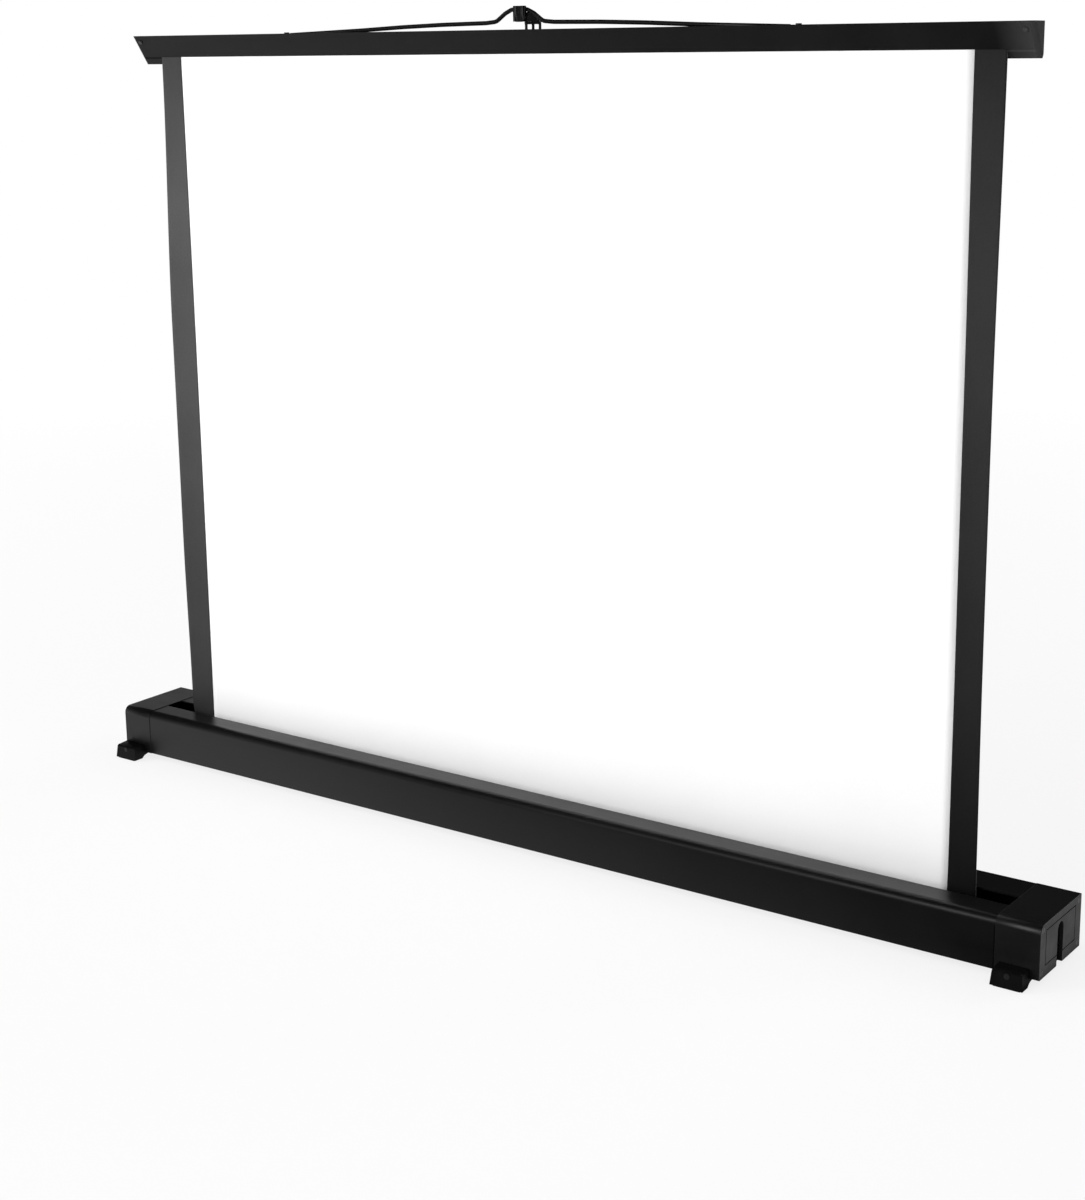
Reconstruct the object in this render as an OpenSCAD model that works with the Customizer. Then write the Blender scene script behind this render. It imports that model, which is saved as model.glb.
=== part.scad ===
/* [Case] */
// Length of the case over its end plates
case_length = 1172; // [1000:1:1400]
// Depth of the case over its end sleeves
case_depth = 94; // [88:0.5:110]
// Height of the case over its end sleeves
case_height = 52.5; // [50:0.5:64]
// Wall of the case body
case_wall = 1.6; // [1.2:0.1:2.4]
// Radius of the long front top edge
front_radius = 8; // [4:0.5:12]
// Radius of the other long edges
edge_radius = 1; // [1:0.5:4]
// Length of the left end sleeve
sleeve_length = 41; // [30:1:60]
// How much longer the right end sleeve is, at the roller's spring end
sleeve_extra = 3; // [0:0.5:6]
// Wall of the end sleeves, which is how far they stand proud of the body
sleeve_wall = 0.4; // [0.4:0.1:1.6]
// Thickness of the end plates
plate_thickness = 4; // [3:0.5:8]
// Width of the slot that the top bar drops into
bar_slot_width = 24; // [23:0.5:28]
// Front edge of that slot, behind the case's front face
bar_slot_setback = 31; // [28:0.5:34]

/* [Feet] */
// Height of the case above the table
ground_gap = 7; // [6:0.5:14]
// Width of a foot at its sole
foot_width = 32; // [24:1:36]
// How much a foot narrows on each side towards its top
foot_flare = 1.5; // [0:0.5:3]
// How far a foot's toe reaches beyond the case
foot_reach = 18; // [12:1:30]
// Height of a foot's top above the case's underside
foot_top = 9; // [5:0.5:14]
// Thickness of the rubber pads
pad_thickness = 1; // [0.8:0.1:3]
// Inset of the two feet near the right end from that end
foot_inset = 8; // [5:1:10]

/* [Screen] */
// Width of the fabric with its borders
fabric_width = 1016; // [800:1:1040]
// Height of fabric seen between case and bar
view_height = 762; // [500:1:800]
// Width of each black border
border_width = 30.5; // [10:0.5:60]
// Thickness of the fabric
fabric_thickness = 0.3; // [0.2:0.05:0.5]
// Place of the fabric's middle along the case, away from the roller's spring end
fabric_shift = -6; // [-10:0.5:0]
// Clearance beside the fabric
fabric_clearance = 0.3; // [0.2:0.05:0.6]

/* [Top bar] */
// Length of the bar over its caps
bar_length = 1076; // [1040:1:1076]
// Place of the bar's middle along the case
bar_shift = -6.5; // [-6.5:0.5:0]
// Width of the bar's flat top
bar_width = 22; // [20:0.5:22]
// Height of the bar
bar_height = 31; // [26:0.2:32]
// Width of the narrow foot of the bar's section
bar_toe = 2; // [1.5:0.1:4]
// Wall of the bar
bar_wall = 1.5; // [1:0.1:2]
// Setback of the fabric behind the bar's front edge
fabric_setback = 15.5; // [14:0.1:16]
// Thickness of the bar's end caps
bar_cap = 5; // [4:0.5:6]
// Radius of the rod that holds the fabric's hem
rod_radius = 2.4; // [1.5:0.1:2.6]

/* [Roller] */
// Outer radius of the roller tube
tube_radius = 12; // [10:0.5:12]
// Wall of the roller tube
tube_wall = 1; // [0.8:0.1:1.5]
// Radius of the fabric still wound on the tube when the screen is open
roll_radius = 13; // [12.5:0.1:14]
// Gap under the fabric that is still wound, which the closed screen's thicker roll needs
roll_floor_gap = 3.1; // [2.8:0.1:3.6]
// Radius of the pin at the roller's plain end
roller_pin_radius = 3; // [2:0.1:4]
// Radius of the arbor at the roller's spring end
arbor_radius = 4; // [3:0.1:5]
// Running clearance on pins, on the radius
running_clearance = 0.05; // [0.02:0.01:0.1]

/* [Handle] */
// Radius of the handle wire
wire_radius = 2.1; // [1.6:0.05:2.2]
// Distance of each wire end from the bar's middle
wire_reach = 303; // [250:1:360]
// Height of the wire's hump above the bar, at the wire's centre
hump_height = 18.9; // [17:0.1:24]
// Height of the wire beside its hump, at the wire's centre
wire_rise = 5.9; // [4:0.1:9]
// Half of the hump's width at its foot
hump_half = 33; // [28:1:44]

/* [Support arm] */
// Place of the arm along the case
arm_shift = -3.5; // [-8:0.5:0]
// Angle that the arm folds through
fold_angle = 88; // [84:0.5:88.5]
// Height of the base pivot above the case's underside
pivot_height = 13; // [11:0.5:14]
// Width of the arm's links
arm_width = 14; // [12:0.5:16]
// Thickness of the arm's links
arm_thickness = 3; // [2:0.1:3.5]
// Gap between neighbouring layers of the arm
layer_gap = 0.4; // [0.2:0.05:0.6]
// Radius of the arm's pins
arm_pin_radius = 3; // [2:0.1:3.5]
// Width of the hook's neck
neck_width = 18.6; // [14:0.2:24]
// Thickness of the hook's neck
neck_thickness = 2.5; // [2:0.1:3]
// Gap between the bar and the hook's neck
neck_gap = 1; // [0.5:0.1:1]
// Width of the hook's nose
nose_width = 14.5; // [12:0.5:20]
// How far the hook's lip stands above the wire's centre
lip_rise = 3.5; // [3:0.5:7]

/* [Hidden] */
$fn = 64;
eps = 0.01;

// Case levels and faces
case_bottom = ground_gap;
case_top = ground_gap + case_height;
case_front = -case_depth / 2;
body_depth = case_depth - 2 * sleeve_wall;
body_height = case_height - 2 * sleeve_wall;
body_bottom = case_bottom + sleeve_wall;
body_top = case_top - sleeve_wall;
body_length = case_length - 2 * plate_thickness;
floor_top = body_bottom + case_wall;
least_radius = 0.4;
slot_front = case_front + bar_slot_setback;
slot_rear = slot_front + bar_slot_width;

// Bar section, seen from its right end
slot_clearance = (bar_slot_width - bar_width) / 2;
bar_front = slot_front + slot_clearance;
bar_rear = bar_front + bar_width;
bar_slope = (bar_width - bar_toe) / bar_height;
bar_slant = sqrt(1 + bar_slope * bar_slope);

// The fabric rises from the roll's rear side into the slit of the bar
slit_margin = 0.5;
fabric_front = bar_front + fabric_setback;
fabric_rear = fabric_front + fabric_thickness;
slit_front = fabric_front - slit_margin;
slit_rear = fabric_rear + slit_margin;
slit_depth = (slit_front - bar_front) / bar_slope;
roller_y = fabric_front - fabric_clearance - roll_radius;
roller_z = floor_top + roll_floor_gap + roll_radius;
bar_top = case_top + view_height + slit_depth;
rod_depth = 10.3;
rod_y = (fabric_front + fabric_rear) / 2;
rod_z = bar_top - rod_depth;
fabric_top = rod_z - rod_radius - fabric_clearance;

// The folded arm brings the bar's top level with the case's top
bar_travel = bar_top - case_top;
link_pitch = bar_travel / (2 * (1 - cos(fold_angle)));
base_z = case_bottom + pivot_height;
elbow_z = base_z + link_pitch;
head_z = base_z + 2 * link_pitch;
neck_front = bar_rear + neck_gap;
neck_rear = neck_front + neck_thickness;
upper_front = neck_rear + layer_gap;
upper_rear = upper_front + arm_thickness;
lower_front = upper_rear + layer_gap;
lower_rear = lower_front + arm_thickness;
lug_front = lower_rear + layer_gap;
lug_rear = lug_front + arm_thickness;
arm_slot_margin = 5;
arm_slot_rear = lug_rear + slot_clearance;
arm_slot_left = arm_shift - neck_width / 2 - arm_slot_margin;
arm_slot_right = arm_shift + link_pitch + arm_width / 2 + arm_slot_margin;
pin_head_radius = arm_pin_radius + 2;
pin_head = 1.2;
pin_head_gap = layer_gap / 2;
head_pin_radius = 2.5;
head_pin_rim = 1.5;

// Roller ends
bracket_thickness = 2;
bracket_gap = 2;
bracket_outer = case_length / 2 - plate_thickness - bracket_gap;
bracket_inner = bracket_outer - bracket_thickness;
bracket_flange = 24;
bracket_screw_x = bracket_inner - bracket_flange + 10;
bracket_half = 8;
plain_end_gap = 10;
spring_end_gap = 25;
tube_left = -bracket_inner + plain_end_gap;
tube_right = bracket_inner - spring_end_gap;
bush_thickness = 3;
bush_length = 12;
arbor_length = 170;
spring_thickness = 3;
spring_clearance = 0.4;

// Fasteners
screw_radius = 1.5;
head_radius = 2.8;
head_height = 1.2;
driver_slot = 0.8;
driver_depth = 0.5;
port_radius = 3.6;
port_inset = 5;
end_screw_length = 16;

// Four corner screw ports of the body, as [y, z]
port_y = body_depth / 2 - port_inset;
port_low = body_bottom + port_inset;
port_high = body_top - port_inset;
ports = [[-port_y, port_low], [port_y, port_low], [-port_y, port_high], [port_y, port_high]];

// U-slot of the end plates
notch_width = 13;
notch_y = -1;
notch_top = case_top - 11;
notch_arch_z = notch_top - notch_width / 2;
notch_reach = plate_thickness + 1;

// Panel outlined by grooves on the end plates
panel_front = -35;
panel_rear = 33;
panel_low = case_bottom + 10.5;
panel_high = case_top - 8;
panel_line = 1;

// Cap spigots and screws of the bar; the screws stand square to its slanted front
bar_left = bar_shift - bar_length / 2;
bar_right = bar_shift + bar_length / 2;
spigot_length = 14;
bar_screw_inset = 9.5;
bar_head_radius = 2.2;
cap_round = bar_cap - 0.5;
cap_reach = 60;
bar_screw_drop = 6.75;
bar_screw_tilt = 90 + atan(bar_slope);
bar_screw_length = bar_wall + 4;
hollow_front = bar_front + bar_slope * bar_wall + bar_wall * bar_slant;

// Feet, by their middle; the two on the left stand at the case's very end
foot_left_x = -case_length / 2 + foot_width / 2;
foot_right_x = case_length / 2 - foot_inset - foot_width / 2;
foot_flange = 22;
foot_face = foot_reach - 2;
foot_screw_drop = 4;
foot_screw_z = case_bottom + foot_top - foot_screw_drop;
foot_screw_in = sleeve_wall + case_wall;
flange_thickness = 2;
flange_screw_y = 15;
foot_slope = 1;
foot_chamfer = 1.5;
arch_radius = 14;
arch_x = -4;
pad_inset = 3;
pad_setback = 1;
pad_depth = 9;

// Handle wire: each half as [distance from the middle, height over the bar], from its end.
// Its ends lie sunk in slots of the bar's top.
handle_y = bar_front + 6;
shoulder_half = 10;
shoulder_drop = 3.9;
wire_sink = 1.9;
wire_slot_gap = 0.3;
wire_half = [
    [wire_reach, -wire_sink], [hump_half, wire_rise], [hump_half - 4, wire_rise + 1.3],
    [shoulder_half + 9, hump_height - shoulder_drop], [shoulder_half, hump_height]
];
wire_slope = (wire_rise + wire_sink) / (wire_reach - hump_half);
wire_dip = wire_reach - (wire_sink + wire_radius + wire_slot_gap) / wire_slope;
knuckle_radius = wire_radius + 0.05;

// Clips under the bar's top, which hold the wire's ends from below
clip_inner = wire_reach - 12;
clip_outer = wire_reach + 13;
clip_height = 4;
clip_rear = handle_y + 6;
clip_top = bar_top - bar_wall;
clip_screw_x = wire_reach + 7;
clip_screw_y = handle_y + 2;

// Hook
neck_shelf_z = bar_top + 5;
neck_shelf = 2.5;
neck_foot = 0.5;
window_drop = 3;
leg_width = 1.8;
nose_bottom = neck_shelf_z + neck_shelf;
nose_rear = nose_bottom + 1;
saddle_width = 18;
groove_half = wire_radius + 0.4;
groove_gap = 1.6;
groove_bottom = bar_top + hump_height - wire_radius - groove_gap;
groove_rise = 1.3;
lip_thickness = 3.5;
lip_drop = 0.4;
lip_corner = 5;
lip_rim = 1;
lip_rear = handle_y - groove_half;
lip_rib = 2.6;
lip_rib_x = 4;

// Base of the arm
base_half = 20;
base_plate = 2;
lug_radius = base_z - floor_top;
base_rim = 6;
base_screw_x = 14;
base_screw_y = lug_rear + base_rim + 0.5;

// Stiffening groove pressed into each link
press_width = 5.6;
press_depth = 0.8;
press_end = 21;

// Cut that rounds one corner of a profile: the corner at the origin, the body towards +x, +y
module corner_cut(r) {
    difference() {
        translate([-1, -1])
            square([r + 1, r + 1]);
        translate([r, r])
            circle(r);
    }
}

// Case profile in the Y-Z plane, drawn as x = depth and y = height
module case_profile(depth, height, front_r, other_r) {
    difference() {
        translate([-depth / 2, 0])
            square([depth, height]);
        translate([-depth / 2, height])
            mirror([0, 1])
                corner_cut(front_r);
        translate([depth / 2, height])
            rotate(180)
                corner_cut(other_r);
        translate([-depth / 2, 0])
            corner_cut(other_r);
        translate([depth / 2, 0])
            mirror([1, 0])
                corner_cut(other_r);
    }
}

// Turns a profile drawn in depth and height into a length along X that starts at x
module along_x(x, length) {
    translate([x, 0, 0])
        rotate([90, 0, 90])
            linear_extrude(length)
                children();
}

module outer_profile() {
    translate([0, case_bottom])
        case_profile(case_depth, case_height, front_radius, edge_radius);
}

module body_profile() {
    translate([0, body_bottom])
        case_profile(body_depth, body_height, front_radius - sleeve_wall,
            max(edge_radius - sleeve_wall, least_radius));
}

module hollow_profile() {
    translate([0, floor_top])
        case_profile(body_depth - 2 * case_wall, body_height - 2 * case_wall,
            front_radius - sleeve_wall - case_wall, least_radius);
}

// Cylinder along X from x1 to x2
module rod_x(x1, x2, y, z, r) {
    translate([x1, y, z])
        rotate([0, 90, 0])
            cylinder(h = x2 - x1, r = r);
}

// Cylinder along Y from y1 to y2
module rod_y(x, y1, y2, z, r) {
    translate([x, y1, z])
        rotate([-90, 0, 0])
            cylinder(h = y2 - y1, r = r);
}

// Screw with its head's underside at the origin and its shank towards -z
module screw(length, head = head_radius) {
    translate([0, 0, -length])
        cylinder(h = length + eps, r = screw_radius);
    cylinder(h = head_height, r = head);
}

module screw_hole(length) {
    translate([0, 0, -length])
        cylinder(h = length + 1, r = screw_radius);
}

module case_body() {
    color("#2b2b2b")
        difference() {
            union() {
                along_x(-body_length / 2, body_length)
                    difference() {
                        body_profile();
                        hollow_profile();
                        translate([slot_front, body_top - case_wall - 1])
                            square([bar_slot_width, case_wall + 2]);
                    }
                for (p = ports)
                    difference() {
                        rod_x(-body_length / 2, body_length / 2, p[0], p[1], port_radius);
                        for (end = [-1, 1])
                            rod_x(end * body_length / 2 - end_screw_length,
                                end * body_length / 2 + end_screw_length, p[0], p[1], screw_radius);
                    }
            }
            translate([arm_slot_left, slot_rear - 1, body_top - case_wall - 1])
                cube([arm_slot_right - arm_slot_left, arm_slot_rear - slot_rear + 1, case_wall + 2]);
            for (end = [-1, 1])
                translate([end * bracket_screw_x, roller_y, floor_top])
                    screw_hole(case_wall + 1);
            foot_holes();
            for (k = [-1, 1])
                translate([arm_shift + k * base_screw_x, base_screw_y, floor_top])
                    screw_hole(case_wall + 1);
        }
}

module end_sleeve(side) {
    length = side > 0 ? sleeve_length + sleeve_extra : sleeve_length;
    color("#262626")
        difference() {
            along_x(side > 0 ? case_length / 2 - length : -case_length / 2, length)
                difference() {
                    outer_profile();
                    body_profile();
                }
            translate([side * case_length / 2 - notch_reach, notch_y - notch_width / 2, case_bottom - 1])
                cube([2 * notch_reach, notch_width, sleeve_wall + 2]);
            foot_holes();
        }
}

// Groove that outlines the plate's panel, as a frame of four thin bars
module panel_groove() {
    for (z = [panel_low, panel_high])
        translate([-panel_line, panel_front, z])
            cube([2 * panel_line, panel_rear - panel_front, panel_line]);
    for (y = [panel_front, panel_rear])
        translate([-panel_line, y, panel_low])
            cube([2 * panel_line, panel_line, panel_high - panel_low + panel_line]);
}

module end_plate(side) {
    face = side * case_length / 2;
    color("#3a3a3a")
        difference() {
            along_x(side > 0 ? face - plate_thickness : face, plate_thickness)
                body_profile();
            rod_x(face - notch_reach, face + notch_reach, notch_y, notch_arch_z, notch_width / 2);
            translate([face - notch_reach, notch_y - notch_width / 2, case_bottom - 1])
                cube([2 * notch_reach, notch_width, notch_arch_z - case_bottom + 1]);
            translate([face, 0, 0])
                panel_groove();
            for (p = ports) {
                rod_x(face - notch_reach, face + notch_reach, p[0], p[1], screw_radius);
                rod_x(face - head_height, face + head_height, p[0], p[1], head_radius);
            }
        }
}

module end_screws() {
    color("#55565a")
        for (side = [-1, 1], p = ports)
            translate([side * (case_length / 2 - head_height), p[0], p[1]])
                rotate([0, side * 90, 0])
                    difference() {
                        screw(end_screw_length);
                        translate([-head_radius, -driver_slot / 2, head_height - driver_depth])
                            cube([2 * head_radius, driver_slot, 1]);
                    }
}

// Puts its children at one foot, where the case's face is at y = 0 and outward is -y
module at_foot(front, left) {
    mirror([0, front ? 0 : 1, 0])
        translate([left ? foot_left_x : foot_right_x, case_front, 0])
            children();
}

module at_feet() {
    for (front = [true, false], left = [true, false])
        at_foot(front, left)
            children();
}

// Screw through the foot's front face, and screw up through its flange
module face_screw_place() {
    translate([0, -foot_face, foot_screw_z])
        rotate([90, 0, 0])
            children();
}

module flange_screw_place() {
    translate([0, flange_screw_y, case_bottom - flange_thickness])
        rotate([180, 0, 0])
            children();
}

module foot_holes() {
    at_feet() {
        face_screw_place()
            screw_hole(foot_face + foot_screw_in);
        flange_screw_place()
            screw_hole(flange_thickness + foot_screw_in);
    }
}

// Foot in side view, drawn as x = reach from the case's face and y = height
module foot_profile() {
    top = case_bottom + foot_top;
    difference() {
        polygon([
            [-foot_flange, case_bottom], [-foot_flange, case_bottom - flange_thickness],
            [arch_x, case_bottom - flange_thickness], [arch_x, pad_thickness],
            [foot_reach, pad_thickness], [foot_reach - foot_chamfer, top - foot_chamfer],
            [foot_reach - 2 * foot_chamfer, top], [0, top + foot_slope], [0, case_bottom]
        ]);
        translate([arch_x, case_bottom - flange_thickness - arch_radius])
            circle(arch_radius);
    }
}

// Foot in front view, wider at its sole
module foot_outline() {
    top = case_bottom + foot_top + foot_slope;
    polygon([
        [-foot_width / 2, 0], [foot_width / 2, 0], [foot_width / 2 - foot_flare, top],
        [foot_flare - foot_width / 2, top]
    ]);
}

module foot(front, left) {
    color("#1f1f1f")
        difference() {
            at_foot(front, left)
                intersection() {
                    mirror([0, 1, 0])
                        along_x(-foot_width / 2, foot_width)
                            foot_profile();
                    rotate([90, 0, 0])
                        linear_extrude(2 * case_depth, center = true)
                            foot_outline();
                }
            foot_holes();
            at_feet()
                face_screw_place()
                    cylinder(h = foot_reach, r = head_radius);
        }
}

module foot_screws() {
    color("#55565a")
        at_feet() {
            face_screw_place()
                screw(foot_face + foot_screw_in);
            flange_screw_place()
                screw(flange_thickness + foot_screw_in);
        }
}

module foot_pads() {
    color("#151515")
        at_feet()
            translate([-foot_width / 2 + pad_inset, -foot_reach + pad_setback, 0])
                cube([foot_width - 2 * pad_inset, pad_depth, pad_thickness]);
}

module roller_bracket(side) {
    bore = side > 0 ? arbor_radius : roller_pin_radius + running_clearance;
    color("#6d6f72")
        difference() {
            union() {
                translate([side > 0 ? bracket_inner : -bracket_outer, roller_y - bracket_half, floor_top])
                    cube([bracket_thickness, 2 * bracket_half, roller_z - floor_top]);
                rod_x(side > 0 ? bracket_inner : -bracket_outer, side > 0 ? bracket_outer : -bracket_inner,
                    roller_y, roller_z, bracket_half);
                translate([side > 0 ? bracket_inner - bracket_flange : -bracket_inner,
                        roller_y - bracket_half, floor_top])
                    cube([bracket_flange, 2 * bracket_half, bracket_thickness]);
            }
            rod_x(-case_length, case_length, roller_y, roller_z, bore);
            translate([side * bracket_screw_x, roller_y, floor_top + bracket_thickness])
                screw_hole(bracket_thickness + 1);
        }
}

module bracket_screws() {
    color("#8a8c90")
        for (side = [-1, 1])
            translate([side * bracket_screw_x, roller_y, floor_top + bracket_thickness])
                screw(bracket_thickness + case_wall);
}

module roller_tube() {
    color("#b9bbbe")
        difference() {
            rod_x(tube_left, tube_right, roller_y, roller_z, tube_radius);
            rod_x(tube_left - 1, tube_right + 1, roller_y, roller_z, tube_radius - tube_wall);
        }
}

module roller_plug() {
    color("#202124") {
        rod_x(-bracket_outer, tube_left, roller_y, roller_z, roller_pin_radius);
        rod_x(tube_left - bush_thickness, tube_left, roller_y, roller_z, tube_radius);
        rod_x(tube_left - eps, tube_left + bush_length, roller_y, roller_z, tube_radius - tube_wall);
    }
}

module roller_bush() {
    color("#202124")
        difference() {
            union() {
                rod_x(tube_right, tube_right + bush_thickness, roller_y, roller_z, tube_radius);
                rod_x(tube_right - bush_length, tube_right + eps, roller_y, roller_z,
                    tube_radius - tube_wall);
            }
            rod_x(tube_right - bush_length - 1, tube_right + bush_thickness + 1, roller_y, roller_z,
                arbor_radius + running_clearance);
        }
}

module spring_arbor() {
    color("#8a8c90")
        rod_x(bracket_outer - arbor_length, bracket_outer, roller_y, roller_z, arbor_radius);
}

module return_spring() {
    color("#8a8c90")
        difference() {
            rod_x(bracket_outer - arbor_length, tube_right - bush_length, roller_y, roller_z,
                arbor_radius + spring_clearance + spring_thickness);
            rod_x(bracket_outer - arbor_length - 1, tube_right, roller_y, roller_z,
                arbor_radius + spring_clearance);
        }
}

module fabric_roll() {
    color("#f4f4f2")
        difference() {
            rod_x(fabric_shift - fabric_width / 2, fabric_shift + fabric_width / 2,
                roller_y, roller_z, roll_radius);
            rod_x(-case_length, case_length, roller_y, roller_z, tube_radius);
        }
}

// Strip of the raised fabric from x1 to x2
module fabric_strip(x1, x2) {
    translate([x1, fabric_front, roller_z])
        cube([x2 - x1, fabric_thickness, fabric_top - roller_z]);
}

module screen_fabric() {
    half = fabric_width / 2 - border_width;
    color("#fbfbfa")
        fabric_strip(fabric_shift - half, fabric_shift + half);
}

module border(side) {
    outer = fabric_shift + side * fabric_width / 2;
    color("#2c2c2c")
        fabric_strip(min(outer, outer - side * border_width), max(outer, outer - side * border_width));
}

// Bar section, drawn as x = depth and y = height
module bar_profile() {
    polygon([
        [bar_front, bar_top], [bar_rear, bar_top], [bar_rear, bar_top - bar_height],
        [bar_rear - bar_toe, bar_top - bar_height]
    ]);
}

module bar_hollow() {
    depth = (bar_rear - bar_wall - hollow_front) / bar_slope;
    polygon([
        [hollow_front, bar_top - bar_wall], [bar_rear - bar_wall, bar_top - bar_wall],
        [bar_rear - bar_wall, bar_top - bar_wall - depth]
    ]);
}

// Screws through the slanted front near the bar's ends
module bar_screw_places() {
    for (x = [bar_left + bar_screw_inset, bar_right - bar_screw_inset])
        translate([x, bar_front + bar_slope * bar_screw_drop, bar_top - bar_screw_drop])
            rotate([bar_screw_tilt, 0, 0])
                children();
}

module clip_screw_places() {
    for (side = [-1, 1])
        translate([bar_shift + side * clip_screw_x, clip_screw_y, bar_top])
            children();
}

// Slots of the bar's top for the sunk ends of the handle wire
module wire_slots() {
    width = 2 * (wire_radius + wire_slot_gap);
    length = wire_reach - wire_dip + wire_slot_gap;
    for (side = [-1, 1])
        translate([bar_shift + side * (wire_dip + length / 2) - length / 2, handle_y - width / 2,
                bar_top - bar_wall - 1])
            cube([length, width, bar_wall + 2]);
}

module top_bar() {
    color("#242424")
        difference() {
            along_x(bar_left + bar_cap, bar_length - 2 * bar_cap)
                difference() {
                    bar_profile();
                    bar_hollow();
                    translate([slit_front, bar_top - bar_height - 1])
                        square([slit_rear - slit_front, bar_height - rod_depth + 1]);
                }
            bar_screw_places()
                screw_hole(bar_screw_length);
            clip_screw_places()
                screw_hole(bar_wall + 1);
            wire_slots();
        }
}

// Space of a cap up to the rounded edge between its slanted front and its end
module cap_limit(side) {
    translate([bar_shift, bar_front, bar_top])
        rotate([atan(bar_slope), 0, 0])
            linear_extrude(2 * cap_reach, center = true)
                difference() {
                    translate([-bar_length / 2, -1])
                        square([bar_length, cap_reach]);
                    translate([side * bar_length / 2, 0])
                        rotate(side > 0 ? 90 : 0)
                            corner_cut(cap_round);
                }
}

module bar_cap_piece(side) {
    x = side > 0 ? bar_right - bar_cap : bar_left;
    spigot = side > 0 ? bar_right - bar_cap - spigot_length : bar_left + bar_cap;
    color("#2a2a2a")
        difference() {
            union() {
                intersection() {
                    along_x(x, bar_cap)
                        bar_profile();
                    cap_limit(side);
                }
                along_x(spigot, spigot_length)
                    bar_hollow();
            }
            rod_x(bar_left + bar_cap - 1, bar_right - bar_cap + 1, rod_y, rod_z, rod_radius);
            bar_screw_places()
                screw_hole(bar_screw_length);
        }
}

module fabric_rod() {
    color("#8a8c90")
        rod_x(bar_left + bar_cap - 1, bar_right - bar_cap + 1, rod_y, rod_z, rod_radius);
}

module bar_screws() {
    color("#77797d")
        bar_screw_places()
            screw(bar_screw_length, bar_head_radius);
}

// Straight run of the handle wire between two of its points, on one side of the middle
module wire_run(side, a, b) {
    run = [side * (b[0] - a[0]), b[1] - a[1]];
    translate([bar_shift + side * a[0], handle_y, bar_top + a[1]])
        rotate([0, atan2(run[0], run[1]), 0])
            cylinder(h = norm(run), r = wire_radius);
}

module handle_wire() {
    color("#1b1b1b") {
        for (side = [-1, 1], i = [1:len(wire_half) - 1]) {
            wire_run(side, wire_half[i - 1], wire_half[i]);
            translate([bar_shift + side * wire_half[i][0], handle_y, bar_top + wire_half[i][1]])
                sphere(knuckle_radius);
        }
        rod_x(bar_shift - shoulder_half, bar_shift + shoulder_half,
            handle_y, bar_top + hump_height, wire_radius);
    }
}

// Clip section, whose front lies along the inside of the bar's slanted front
module clip_profile() {
    polygon([
        [hollow_front, clip_top], [clip_rear, clip_top], [clip_rear, clip_top - clip_height],
        [hollow_front + bar_slope * clip_height, clip_top - clip_height]
    ]);
}

module handle_clips() {
    color("#232323")
        difference() {
            for (side = [-1, 1])
                along_x(bar_shift + side * (clip_inner + clip_outer) / 2 - (clip_outer - clip_inner) / 2,
                    clip_outer - clip_inner)
                    clip_profile();
            for (side = [-1, 1])
                wire_run(side, wire_half[0], wire_half[1]);
            clip_screw_places()
                screw_hole(bar_wall + clip_height);
        }
}

module clip_screws() {
    color("#8f9195")
        clip_screw_places()
            screw(bar_wall + clip_height);
}

// Flat link of the arm between two pivots
module link(z1, z2, front, low_hole, high_hole) {
    difference() {
        union() {
            translate([arm_shift - arm_width / 2, front, z1])
                cube([arm_width, arm_thickness, z2 - z1]);
            for (z = [z1, z2])
                rod_y(arm_shift, front, front + arm_thickness, z, arm_width / 2);
        }
        rod_y(arm_shift, front - 1, front + arm_thickness + 1, z1, low_hole);
        rod_y(arm_shift, front - 1, front + arm_thickness + 1, z2, high_hole);
        translate([arm_shift - press_width / 2, front + arm_thickness - press_depth, z1 + press_end])
            cube([press_width, arm_thickness, z2 - z1 - 2 * press_end]);
    }
}

module lower_arm() {
    color("#303030")
        link(base_z, elbow_z, lower_front, arm_pin_radius + running_clearance, arm_pin_radius);
}

module upper_arm() {
    color("#303030")
        link(elbow_z, head_z, upper_front,
            arm_pin_radius + running_clearance, head_pin_radius + running_clearance);
}

module elbow_pin() {
    color("#9a9ca0") {
        rod_y(arm_shift, upper_front - pin_head_gap - pin_head, lower_rear + pin_head,
            elbow_z, arm_pin_radius);
        rod_y(arm_shift, upper_front - pin_head_gap - pin_head, upper_front - pin_head_gap, elbow_z,
            pin_head_radius);
        rod_y(arm_shift, lower_rear, lower_rear + pin_head, elbow_z, pin_head_radius);
    }
}

module elbow_spacer() {
    color("#9a9ca0")
        difference() {
            rod_y(arm_shift, upper_rear + pin_head_gap, lower_front, elbow_z, pin_head_radius);
            rod_y(arm_shift, upper_rear - 1, lower_front + 1, elbow_z, arm_pin_radius);
        }
}

module head_pin() {
    color("#9a9ca0") {
        rod_y(arm_shift, neck_front, upper_rear + pin_head_gap + pin_head, head_z, head_pin_radius);
        rod_y(arm_shift, upper_rear + pin_head_gap, upper_rear + pin_head_gap + pin_head, head_z,
            head_pin_radius + head_pin_rim);
    }
}

module arm_base() {
    color("#3a3b3d")
        difference() {
            union() {
                for (front = [upper_front, lug_front]) {
                    translate([arm_shift - lug_radius, front, floor_top])
                        cube([2 * lug_radius, arm_thickness, base_z - floor_top]);
                    rod_y(arm_shift, front, front + arm_thickness, base_z, lug_radius);
                }
                translate([arm_shift - base_half, upper_front, floor_top])
                    cube([2 * base_half, base_screw_y + base_rim - upper_front, base_plate]);
            }
            rod_y(arm_shift, upper_front - 1, lug_rear + 1, base_z, arm_pin_radius);
            for (k = [-1, 1])
                translate([arm_shift + k * base_screw_x, base_screw_y, floor_top + base_plate])
                    screw_hole(base_plate + 1);
        }
}

module base_screws() {
    color("#8a8c90")
        for (k = [-1, 1])
            translate([arm_shift + k * base_screw_x, base_screw_y, floor_top + base_plate])
                screw(base_plate + case_wall);
}

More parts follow.
